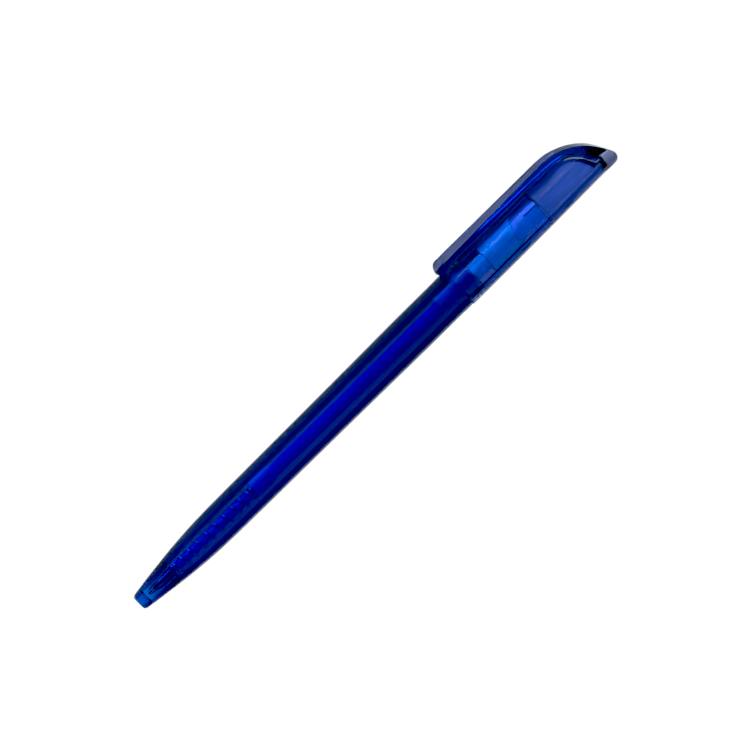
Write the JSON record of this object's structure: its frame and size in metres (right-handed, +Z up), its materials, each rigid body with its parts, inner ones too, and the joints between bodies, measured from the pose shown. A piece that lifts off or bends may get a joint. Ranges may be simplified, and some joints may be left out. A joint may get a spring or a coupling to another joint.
{
  "type": "twist action gel pen",
  "caption": "Retractable gel pen in translucent plastic: frosted tapered barrel, clear upper barrel with a long curled pocket clip, twist cam mechanism and sprung refill.",
  "frame": {"origin": "centre of the pen's box at table level, under the pen as it lies on its side", "axes": "+X along the pen axis towards the writing point, +Z up, clip on the -Y side and 16 degrees below horizontal"},
  "size_m": [0.141, 0.0126, 0.0098],
  "materials": {
    "frosted_blue": "frosted translucent blue moulding, satin",
    "clear_blue": "clear translucent blue moulding, polished",
    "white_plastic": "moulded white plastic",
    "cyan_plastic": "moulded pale cyan plastic",
    "refill_clear": "extruded clear tube",
    "blue_ink": "blue gel ink",
    "follower_grease": "clear follower grease",
    "holder_plastic": "moulded natural plastic",
    "spring_steel": "drawn steel wire",
    "point_metal": "turned stainless steel",
    "ball_metal": "polished carbide ball"
  },
  "bodies": {
    "barrel": {"lower_barrel": "frosted_blue", "guide_bushing": "white_plastic", "return_spring": "spring_steel"},
    "cap": {"upper_barrel": "clear_blue", "drive_cam": "white_plastic"},
    "refill": {"cam_follower": "cyan_plastic", "refill_tube": "refill_clear", "gel_ink": "blue_ink", "grease_plug": "follower_grease", "tip_holder": "holder_plastic", "writing_point": "point_metal"},
    "writing_ball": {"ball": "ball_metal"}
  },
  "joints": [
    {"name": "cap_twist", "type": "hinge", "parent": "barrel", "child": "cap", "pos_m": [-0.028, 0.00144, 0.00489], "axis": [1, 0, 0], "range_deg": [0, 180]},
    {"name": "refill_slide", "type": "slide", "parent": "barrel", "child": "refill", "axis": [1, 0, 0], "range_m": [0, 0.0045], "deforming": ["return_spring"]},
    {"name": "ball_roll", "type": "hinge", "parent": "refill", "child": "writing_ball", "pos_m": [0.06725, 0.00144, 0.00489], "axis": [0, 1, 0], "continuous": true}
  ],
  "couplings": [
    {"joint": "cap_twist", "follows": "refill_slide", "rad_per_m": 698.13}
  ]
}
